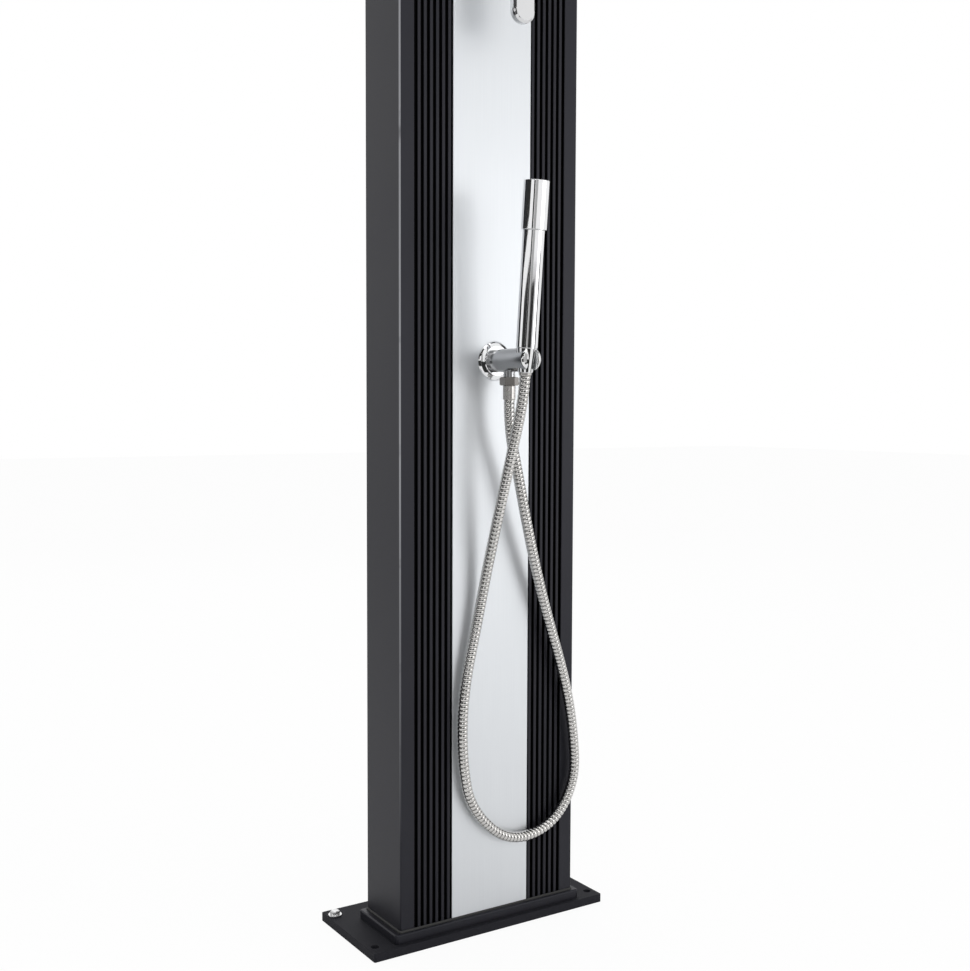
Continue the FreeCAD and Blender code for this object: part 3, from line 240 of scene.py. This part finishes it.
def powder_coat(name, light, rough, column=False):
    """Fine matt black powder coat; the column's gets a painted highlight at its front corners and
    dead black painted shade in its grooves.
    """
    paint = Paint(name)
    grain = paint.noise(paint.place(), scale=2600.0, detail=2.0)
    cloud = paint.noise(paint.place(), scale=9.0, detail=3.0)
    coat = paint.mix(cloud.between(0.3, 0.7),
                     tone(light * 0.97, light * 0.98, light * 1.30),
                     tone(light * 1.32, light * 1.33, light * 1.70))
    if column:
        painted_highlight, groove = column_painted_light(paint)
        # painted highlight on the front corners
        highlighted_coat = paint.mix(painted_highlight, coat, tone(0.27, 0.275, 0.29))
        # painted shade: the grooves dead black, and metallic so that they lose their reflection too
        coat = paint.mix(groove, highlighted_coat, grey(0.0028))
        paint.set(Metallic=groove)
    paint.set(Base_Color=coat, Roughness=rough + 0.10 * cloud,
              Normal=paint.bump(grain, distance=0.00006, strength=0.5),
              Specular_IOR_Level=0.27, Specular_Tint=tone(0.90, 0.90, 1.0))
    return paint.material


def satin_anodised():
    """Silver panel: blasted and anodised, with faint upright drawing lines."""
    paint = Paint("satin_silver_anodised")
    lines = paint.noise(paint.stretched(1.0, 1.0, 0.004), scale=2200.0, detail=2.0)
    cloud = paint.noise(paint.place(), scale=5.0, detail=3.0)
    silver = paint.mix(lines, tone(0.665, 0.685, 0.71), tone(0.73, 0.75, 0.77))
    paint.set(Base_Color=silver, Metallic=1.0, Roughness=0.44 + 0.05 * cloud,
              Normal=paint.bump(lines, distance=0.00003, strength=0.35))
    return paint.material


def chrome_plate(name, light, rough):
    """Polished chrome with the faintest clouding of handled metal."""
    paint = Paint(name)
    cloud = paint.noise(paint.place(), scale=60.0, detail=4.0)
    smear = paint.noise(paint.stretched(1.0, 1.0, 0.25), scale=240.0, detail=2.0)
    chrome = paint.mix(cloud, tone(light * 0.94, light * 0.95, light * 0.96),
                       tone(light, light, light * 1.01))
    paint.set(Base_Color=chrome, Metallic=1.0, Roughness=rough + 0.05 * cloud * smear)
    return paint.material


def satin_chrome():
    """Duller plate on the holder's bar; its domed end is polished."""
    paint = Paint("satin_chrome")
    lines = paint.noise(paint.stretched(1.0, 0.02, 1.0), scale=1600.0, detail=2.0)
    dome = (0.0 - paint.axes()[1]).between(*DOME)
    satin = paint.mix(lines, tone(0.40, 0.405, 0.415), tone(0.47, 0.475, 0.485))
    paint.set(Base_Color=paint.mix(dome, satin, tone(0.84, 0.845, 0.85)), Metallic=1.0,
              Roughness=0.15 + 0.08 * lines - 0.12 * dome,
              Normal=paint.bump(lines, distance=0.00002, strength=0.3))
    return paint.material


def hose_steel():
    """Stainless strip of the hose; painted shade darkens its grooves, which are also rougher."""
    paint = Paint("stainless_hose")
    groove = paint.make("ShaderNodeAttribute", {"attribute_name": GROOVE_LAYER}, {}, "Fac")
    cloud = paint.noise(paint.place(), scale=90.0, detail=3.0)
    bright = paint.mix(cloud, tone(0.60, 0.59, 0.57), tone(0.71, 0.70, 0.685))
    # painted shade: the base colour darkens towards the floor of each groove
    paint.set(Base_Color=paint.mix(groove.power(1.5), bright, tone(0.20, 0.194, 0.185)),
              Metallic=1.0, Roughness=0.08 + 0.05 * cloud + 0.15 * groove)
    return paint.material


def clouded_metal(name, scale, dark, bright, rough, rougher):
    """Plain metal, cloudy between two tones; where it is brighter it is also rougher."""
    paint = Paint(name)
    cloud = paint.noise(paint.place(), scale=scale, detail=4.0)
    paint.set(Base_Color=paint.mix(cloud, dark, bright), Metallic=1.0,
              Roughness=rough + rougher * cloud)
    return paint.material


def plain_steel(name, light, rough, warm=1.0):
    """Stainless fasteners and tubes; warm below 1 takes away blue."""
    dark = light * 0.88
    return clouded_metal(name, scale=300.0, dark=tone(dark, dark * warm, dark * warm * warm),
                         bright=tone(light, light * warm, light * warm * warm), rough=rough,
                         rougher=0.12)


def raw_brass():
    return clouded_metal("raw_brass", scale=120.0, dark=tone(0.50, 0.36, 0.14),
                         bright=tone(0.64, 0.49, 0.22), rough=0.30, rougher=0.20)


def rubber(name, light):
    """Rubber with fine grain and patches that have gone paler."""
    paint = Paint(name)
    cloud = paint.noise(paint.place(), scale=160.0, detail=4.0)
    grain = paint.noise(paint.place(), scale=1800.0, detail=2.0)
    paint.set(Base_Color=paint.mix(cloud, grey(light), grey(light * 1.5)),
              Roughness=0.60 + 0.15 * cloud,
              Normal=paint.bump(grain, distance=0.00005, strength=0.4))
    return paint.material


def moulded(name, light):
    """Moulded plastic with a fine eroded grain."""
    paint = Paint(name)
    cloud = paint.noise(paint.place(), scale=70.0, detail=3.0)
    grain = paint.noise(paint.place(), scale=2200.0, detail=2.0)
    paint.set(Base_Color=paint.mix(cloud, grey(light), grey(light * 1.12)),
              Roughness=0.40 + 0.12 * cloud,
              Normal=paint.bump(grain, distance=0.00003, strength=0.4))
    return paint.material


FINISHES = {
    "column": powder_coat("black_column_coat", light=0.0105, rough=0.36, column=True),
    "coat": powder_coat("black_powder_coat", light=0.0105, rough=0.36),
    "plate": powder_coat("black_coated_steel", light=0.0085, rough=0.70),
    "silver": satin_anodised(),
    "chrome": chrome_plate("polished_chrome", light=0.86, rough=0.045),
    "lever": chrome_plate("lever_chrome", light=0.74, rough=0.13),
    "satin": satin_chrome(),
    "hose": hose_steel(),
    "bolt": plain_steel("bolt_steel", light=0.62, rough=0.24),
    "pipe": plain_steel("pipe_steel", light=0.56, rough=0.30),
    "nut": plain_steel("nut_steel", light=0.33, rough=0.10, warm=0.95),
    "sleeve": plain_steel("ferrule_steel", light=0.62, rough=0.22, warm=0.97),
    "brass": raw_brass(),
    "seal": rubber("black_rubber", light=0.018),
    "nozzle": rubber("grey_silicone", light=0.16),
    "grey": moulded("grey_plastic", light=0.09),
    "white": moulded("white_plastic", light=0.70),
}
FINISH_OF = {
    "column": "column_profile",
    "coat": "top_cap foot_collar cap_screws",
    "plate": "base_plate base_screws",
    "silver": "front_panel",
    "satin": "holder_body",
    "nut": "hose_nut",
    "lever": "mixer_handle",
    "sleeve": "lower_ferrule upper_ferrule",
    "chrome": "holder_rosette cone_nut handset_body handset_head mixer_flange mixer_sleeve "
              "mixer_dome diverter_flange diverter_knob arm_flange shower_arm ball_nipple "
              "swivel_collar overhead_shell",
    "bolt": "anchor_bolt anchor_washer handle_screw stem_pin",
    "pipe": "mixed_pipe riser_pipe cold_pipe hot_pipe hand_pipe inlet_tubes hot_tubes",
    "brass": "mixer_body cartridge_nut mixer_stem diverter_body diverter_spindle arm_elbow "
             "inlet_manifold hot_manifold inlet_fitting drain_plug holder_nut",
    "seal": "foot_seal plug_seals inlet_washer drain_washer",
    "grey": "chamber_plugs spray_insert swivel_ring",
    "white": "mixer_cartridge cartridge_rotor",
    "nozzle": "overhead_face",
    "hose": "shower_hose",
}


def dress_nodes():
    """Gives every carried-over piece its finish."""
    for finish, names in FINISH_OF.items():
        for name in names.split():
            slots = node[name].data.materials
            slots.clear()
            slots.append(FINISHES[finish])


# ---- pieces that stand for their CAD nodes ------------------------------------------------
def body_with(name):
    for body, names in frame["record"]["behaviour"]["bodies"].items():
        if name in names:
            return body
    return "post"


def stand_for(piece, name):
    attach(piece, body_with(name))
    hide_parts(name)


def sharp_edges(mesh, degrees):
    """Edges between two faces that turn by more than this."""
    return [edge for edge in mesh.edges if edge.calc_face_angle(0.0) > math.radians(degrees)]


def round_edges(mesh, edges, width, segments):
    """Rounds off these edges and gives the new faces."""
    return bmesh.ops.bevel(mesh, geom=edges, offset=width, offset_type="OFFSET",
                           segments=segments, profile=0.5, affect="EDGES", material=-1,
                           clamp_overlap=True)["faces"]


MERGE = 2e-6                      # points of a CAD mesh closer than this are one, in metres
FLAT = 0.4                        # its faces that turn by fewer degrees are one flat face
CORNER = 35.0                     # its edges that turn by more degrees are corners
EDGE_SEGMENTS = 2
# piece, width of its rounded edges in metres, slot
FINE_EDGED = (
    ("column_profile", 0.0009, "black_coat"),
    ("front_panel", 0.0003, "satin_silver"),
    ("base_plate", 0.0008, "black_steel"),
    ("foot_collar", 0.0006, "black_coat"),
    ("hose_nut", 0.0003, "chrome_plate"),
    ("top_cap", 0.0006, "black_coat"),
    ("mixer_handle", 0.0005, "chrome_plate"),
)


def fine_edged(name, width):
    """The CAD piece merged, with a fine rounded edge along its corners, which catches the light."""
    source = node[name].data
    mesh = bmesh.new()
    mesh.from_mesh(source)
    bmesh.ops.remove_doubles(mesh, verts=mesh.verts, dist=MERGE)
    bmesh.ops.dissolve_limit(mesh, angle_limit=math.radians(FLAT), verts=mesh.verts,
                             edges=mesh.edges)
    for face in round_edges(mesh, sharp_edges(mesh, CORNER), width, EDGE_SEGMENTS):
        face.smooth = True
    for edge in sharp_edges(mesh, CORNER):
        edge.smooth = False
    piece = add_mesh("edged_" + name, mesh, source.materials[0])
    stand_for(piece, name)
    return piece


# Turned pieces: millimetres, each profile a closed row of (radius, height) along its own line.
FITTINGS_X = 4.0                  # all fittings stand on this upright line of the panel
PANEL_Y = -56.5                   # column's front face, from which the heights count
PANEL_PROUD = 0.8                 # the panel stands this far before it
HOLDER_Z = 668.0
MIXER_Z = 1130.0
DIVERTER_Z = 1290.0
ARM_Z = 2090.0
HANDSET_Y = -120.5                # the hand shower's line at the holder's height
HANDSET_LEAN = 5.5                # and its lean in degrees
FLANGE_TOP = 6.8
SPIN_STEPS = 128
TURNED_MERGE = 1e-4
TURNED_CORNER = 15.0              # turned edges that turn by more degrees are rounded off
TURNED_SEGMENTS = 4
EVEN_WEIGHT = 60                  # how far large faces lead the shading of their corners
ROSETTE = ((13.35, 0.8), (22.8, 0.8), (22.8, 1.1), (21.9, 2.7), (20.7, 3.9), (18.4, 5.1),
           (16.9, 5.6), (16.4, 5.6), (15.9, 6.5), (13.35, 6.5))
HANDSET_BODY = ((4, 13), (12.1, 13), (12.1, 141), (9.7, 141), (9.7, 21), (4, 21))
HANDSET_HEAD = ((9.7, 141), (14.1, 141), (14.1, 194), (11.05, 194), (11.05, 191), (8.3, 191),
                (8.3, 144), (9.7, 144))


def flange(outer, inner):
    """Flat cover plate with a sloping shoulder."""
    return ((inner, PANEL_PROUD), (outer, PANEL_PROUD), (outer, 1.9), (outer - 0.7, 2.9),
            ((outer + inner) / 2, FLANGE_TOP - 1.0), (inner + 2.0, FLANGE_TOP),
            (inner, FLANGE_TOP))


def on_front(z):
    """Place of a piece that is turned about a line out of the panel."""
    return (Matrix.Translation((FITTINGS_X, PANEL_Y, z))
            @ Matrix.Rotation(math.radians(90), 4, "X"))


def on_handset():
    """Place of a piece that is turned about the leaning line of the hand shower."""
    return (Matrix.Translation((FITTINGS_X, HANDSET_Y, HOLDER_Z))
            @ Matrix.Rotation(math.radians(HANDSET_LEAN), 4, "X"))


def spun(name, place, rows, rounding):
    """Turned piece, spun about its own line, with its corners rounded off."""
    mesh = bmesh.new()
    corners = [mesh.verts.new((radius, 0, height)) for radius, height in rows]
    edges = [mesh.edges.new(pair) for pair in zip(corners, corners[1:] + corners[:1])]
    bmesh.ops.spin(mesh, geom=corners + edges, cent=(0, 0, 0), axis=(0, 0, 1),
                   angle=2 * math.pi, steps=SPIN_STEPS, use_merge=True)
    bmesh.ops.remove_doubles(mesh, verts=mesh.verts, dist=TURNED_MERGE)
    bmesh.ops.recalc_face_normals(mesh, faces=mesh.faces)
    round_edges(mesh, sharp_edges(mesh, TURNED_CORNER), rounding, TURNED_SEGMENTS)
    bmesh.ops.transform(mesh, matrix=Matrix.Scale(0.001, 4) @ place, verts=mesh.verts)
    for face in mesh.faces:
        face.smooth = True
    piece = add_mesh("turned_" + name, mesh, node[name].data.materials[0])
    even = piece.modifiers.new("even_normals", "WEIGHTED_NORMAL")
    even.weight = EVEN_WEIGHT
    stand_for(piece, name)


def turned_pieces():
    spun("holder_rosette", on_front(HOLDER_Z), ROSETTE, 0.4)
    spun("handset_body", on_handset(), HANDSET_BODY, 0.5)
    spun("handset_head", on_handset(), HANDSET_HEAD, 0.9)
    spun("mixer_flange", on_front(MIXER_Z), flange(32.0, 23.05), 0.5)
    spun("diverter_flange", on_front(DIVERTER_Z), flange(25.0, 10.45), 0.5)
    spun("arm_flange", on_front(ARM_Z), flange(30.0, 10.05), 0.5)


# ---- ribbed hose --------------------------------------------------------------------------
HOSE_R = 0.0062                   # over the ribs, in metres
GROOVE_R = 0.00545                # at the floor of the groove
GROOVE_SHADE_R = HOSE_R * 0.965           # painted groove shade begins below this radius
HOSE_PITCH = 0.0048
STEPS_ROUND = 24
STEPS_ALONG = 24                  # points of the line between two points of its route
TURN_MERGE = 1e-5                 # points of two turns closer than this are one
# One turn of the strip: share of the pitch, radius.
RIB = ((0.0, GROOVE_R), (0.08, GROOVE_R), (0.17, HOSE_R * 0.955), (0.28, HOSE_R * 0.990),
       (0.52, HOSE_R), (0.76, HOSE_R * 0.992), (0.91, HOSE_R * 0.960), (1.0, GROOVE_R))
# Points that the hose's smooth line is drawn by, in millimetres, from the outlet to the cradle.
HOSE_ROUTE = (
    (4, -87.5, 623.5), (4, -87.5, 591), (17, -84, 547), (39, -79, 463), (65, -73, 382),
    (99, -69, 290), (113, -68, 227), (118, -67, 158), (81, -66, 108), (19, -65.5, 102),
    (-31, -66, 148), (-44, -66, 203), (-44, -66, 284), (-24, -67, 372), (-15, -74, 436),
    (-3, -105, 567), (4, -116.33, 624.70), (4, -118.82, 650.58))


def hose_line():
    """Points along the smooth line of the hose, in metres."""
    curve = bpy.data.curves.new("hose_line", "CURVE")
    curve.dimensions = "3D"
    curve.resolution_u = STEPS_ALONG
    line = curve.splines.new("NURBS")
    line.points.add(len(HOSE_ROUTE) - 1)
    for point, place in zip(line.points, HOSE_ROUTE):
        point.co = (*(value / 1000 for value in place), 1)
    line.order_u = 3
    line.use_endpoint_u = True
    holder = add_object("hose_line", curve)
    traced = bpy.data.meshes.new_from_object(holder)
    points = [vertex.co.copy() for vertex in traced.vertices]
    bpy.data.objects.remove(holder)
    bpy.data.curves.remove(curve)
    bpy.data.meshes.remove(traced)
    return points


def frames_along(points):
    """Distance, point and two steady side directions at each point of a line."""
    ahead = [(b - a).normalized() for a, b in zip(points, points[1:])]
    ahead.append(ahead[-1])
    side = ahead[0].orthogonal().normalized()
    rows = []
    distance = 0.0
    for i, (point, along) in enumerate(zip(points, ahead)):
        if i:
            distance += (point - points[i - 1]).length
        side = (side - along * side.dot(along)).normalized()
        rows.append((distance, point, side, along.cross(side)))
    return rows


def bend_along(mesh, rows):
    """Moves a straight upright piece onto the line: height becomes distance along it."""
    i = 0
    for vertex in sorted(mesh.verts, key=lambda vertex: vertex.co.z):
        height = vertex.co.z
        while i < len(rows) - 2 and rows[i + 1][0] < height:
            i += 1
        a, b = rows[i], rows[i + 1]
        share = (height - a[0]) / (b[0] - a[0])
        point = a[1].lerp(b[1], share)
        side = a[2].lerp(b[2], share).normalized()
        other = a[3].lerp(b[3], share).normalized()
        vertex.co = point + side * vertex.co.x + other * vertex.co.y


def everything(mesh):
    return mesh.verts[:] + mesh.edges[:] + mesh.faces[:]


def wound_strip(turns, pitch):
    """Straight upright hose, at least this many turns from height 0, with open ends."""
    mesh = bmesh.new()
    corners = [mesh.verts.new((radius, 0, (share - 1) * pitch)) for share, radius in RIB]
    edges = [mesh.edges.new(pair) for pair in zip(corners, corners[1:])]
    bmesh.ops.spin(mesh, geom=corners + edges, cent=(0, 0, 0), axis=(0, 0, 1),
                   dvec=(0, 0, pitch / STEPS_ROUND), angle=2 * math.pi, steps=STEPS_ROUND,
                   use_merge=False)
    wound = 1
    while wound < turns + 1:
        copied = bmesh.ops.duplicate(mesh, geom=everything(mesh))["geom"]
        again = [part for part in copied if isinstance(part, bmesh.types.BMVert)]
        bmesh.ops.translate(mesh, verts=again, vec=(0, 0, wound * pitch))
        wound *= 2
    bmesh.ops.remove_doubles(mesh, verts=mesh.verts, dist=TURN_MERGE)
    return mesh


def cut_ends(mesh, length):
    """Cuts the strip off at height 0 and at its length, and closes both ends."""
    for height, below in ((0.0, True), (length, False)):
        bmesh.ops.bisect_plane(mesh, geom=everything(mesh), dist=1e-7,
                               plane_co=(0, 0, height), plane_no=(0, 0, 1),
                               clear_inner=below, clear_outer=not below)
    bmesh.ops.holes_fill(mesh, edges=[edge for edge in mesh.edges if edge.is_boundary], sides=0)


def mark_grooves(mesh):
    """Keeps how deep each point lies in the groove, for the finish's painted shade and roughness.
    """
    groove = mesh.verts.layers.float.new(GROOVE_LAYER)
    for vertex in mesh.verts:
        radius = math.hypot(vertex.co.x, vertex.co.y)
        vertex[groove] = min(1.0, max(0.0, (GROOVE_SHADE_R - radius) / (GROOVE_SHADE_R - GROOVE_R)))


def ribbed_hose():
    """Spiral-wound strip hose: a rounded rib on each turn, bent onto its line."""
    points = hose_line()
    rows = frames_along(points)
    length = rows[-1][0]
    turns = round(length / HOSE_PITCH)
    mesh = wound_strip(turns, length / turns)
    cut_ends(mesh, length)
    mark_grooves(mesh)
    bend_along(mesh, rows)
    bmesh.ops.recalc_face_normals(mesh, faces=mesh.faces)
    for face in mesh.faces:
        face.smooth = True
    hose = add_mesh("ribbed_hose", mesh, FINISHES["hose"])
    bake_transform(hose)
    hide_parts("shower_hose")


# ---- studio -------------------------------------------------------------------------------
# name: place, aimed at, width and height, watts
LAMPS = {
    "key_lamp": ((2.4, -2.8, 0.75), (0, 0, 0.75), (2.2, 1.5), 18),
    "edge_lamp": ((-1.7, -2.3, 1.9), (0, 0, 0.7), (0.3, 1.2), 14),
    "top_lamp": ((0.0, -0.4, 3.6), (0, 0, 0), (2.6, 2.6), 20),
    "back_lamp": ((1.0, 2.8, 2.6), (0, 0, 1.0), (2.4, 2.4), 16),
}
BLACK_CARD = 0.015
GREY_CARD = 0.45
# name: place, width, height, colour; all face the middle of the object
FLAGS = {
    "left_flag": ((-1.75, 0.35, 1.68), 1.8, 1.6, BLACK_CARD),
    "rim_flag": ((-1.40, -0.70, 1.95), 0.9, 1.3, BLACK_CARD),
    "side_flag": ((-1.60, -0.55, 0.33), 1.2, 0.9, BLACK_CARD),
    "slim_flag": ((-1.50, -1.45, 0.9), 0.42, 2.6, BLACK_CARD),
    "grey_flag": ((-0.95, -1.85, 0.9), 0.75, 2.6, GREY_CARD),
    "right_flag": ((1.75, -1.25, 0.2), 0.5, 1.2, BLACK_CARD),
    "high_flag": ((1.15, -0.15, 2.5), 1.3, 1.6, BLACK_CARD),
    "crown_flag": ((1.65, -0.30, 1.75), 1.0, 0.9, BLACK_CARD),
    "low_flag": ((-0.15, -1.15, 0.10), 0.8, 1.3, BLACK_CARD),
}
FLAGS_FACE = Vector((0, 0, 0.8))
FLOOR_HALF = 14.0
FLOOR_WHITE = 0.93                # how much of the floor's colour is plain white to the camera
AIR_LIGHT = 0.75                  # strength of the world's light on the object


def lamp(name, place, target, size, watts):
    data = bpy.data.lights.new(name, "AREA")
    data.shape = "RECTANGLE"
    data.size, data.size_y = size
    data.energy = watts
    made = add_object(name, data)
    made.location = place
    made.rotation_euler = (Vector(target) - Vector(place)).to_track_quat("-Z", "Y").to_euler()


def flag(name, place, width, height, light):
    """Card beside the object: polished parts mirror it, and nothing else sees it."""
    mesh = bmesh.new()
    bmesh.ops.create_grid(mesh, x_segments=1, y_segments=1, size=0.5)
    turn = (FLAGS_FACE - Vector(place)).to_track_quat("Z", "Y").to_matrix().to_4x4()
    size = Matrix.Diagonal((width, height, 1, 1))
    bmesh.ops.transform(mesh, matrix=Matrix.Translation(place) @ turn @ size, verts=mesh.verts)
    paint = Paint(name)
    paint.set(Base_Color=grey(light), Roughness=0.9)
    card = add_mesh(name, mesh, paint.material)
    for sight in ("camera", "diffuse", "shadow", "transmission"):
        setattr(card, "visible_" + sight, False)


def studio_floor():
    """Plain pale floor that keeps the object's shadow and is nearly white to the camera."""
    paint = Paint("studio_floor")
    paint.set(Base_Color=grey(0.9), Roughness=0.9)
    glow = paint.make("ShaderNodeEmission", {}, {"Color": grey(1.0), "Strength": 1.0})
    seen = paint.make("ShaderNodeLightPath", {}, {}, "Is Camera Ray")
    lit = Value(paint, paint.shader.outputs[0])
    mixed = paint.make("ShaderNodeMixShader", {}, {0: seen * FLOOR_WHITE, 1: lit, 2: glow})
    paint.feed(paint.tree.nodes["Material Output"].inputs["Surface"], mixed)
    mesh = bmesh.new()
    bmesh.ops.create_grid(mesh, x_segments=2, y_segments=2, size=FLOOR_HALF)
    add_mesh("studio_floor", mesh, paint.material)


def studio_air():
    """World that is white to the camera and in reflections, and a softer light on the object."""
    world = bpy.data.worlds.new("studio_air")
    bpy.context.scene.world = world
    world.use_nodes = True
    tree = world.node_tree
    tree.nodes.clear()
    path = tree.nodes.new("ShaderNodeLightPath")
    either = tree.nodes.new("ShaderNodeMath")
    either.operation = "MAXIMUM"
    tree.links.new(path.outputs["Is Camera Ray"], either.inputs[0])
    tree.links.new(path.outputs["Is Glossy Ray"], either.inputs[1])
    mixed = tree.nodes.new("ShaderNodeMixShader")
    tree.links.new(either.outputs[0], mixed.inputs[0])
    for socket, strength in ((1, AIR_LIGHT), (2, 1.0)):
        white = tree.nodes.new("ShaderNodeBackground")
        white.inputs["Color"].default_value = grey(1.0)
        white.inputs["Strength"].default_value = strength
        tree.links.new(white.outputs[0], mixed.inputs[socket])
    ends = tree.nodes.new("ShaderNodeOutputWorld")
    tree.links.new(mixed.outputs[0], ends.inputs["Surface"])


photograph_camera()
dress_nodes()
edged = {name: fine_edged(name, width) for name, width, slot in FINE_EDGED}
turned_pieces()
ribbed_hose()
for name, settings in LAMPS.items():
    lamp(name, *settings)
for name, settings in FLAGS.items():
    flag(name, *settings)
studio_floor()
studio_air()
bpy.context.scene.view_settings.view_transform = "Standard"
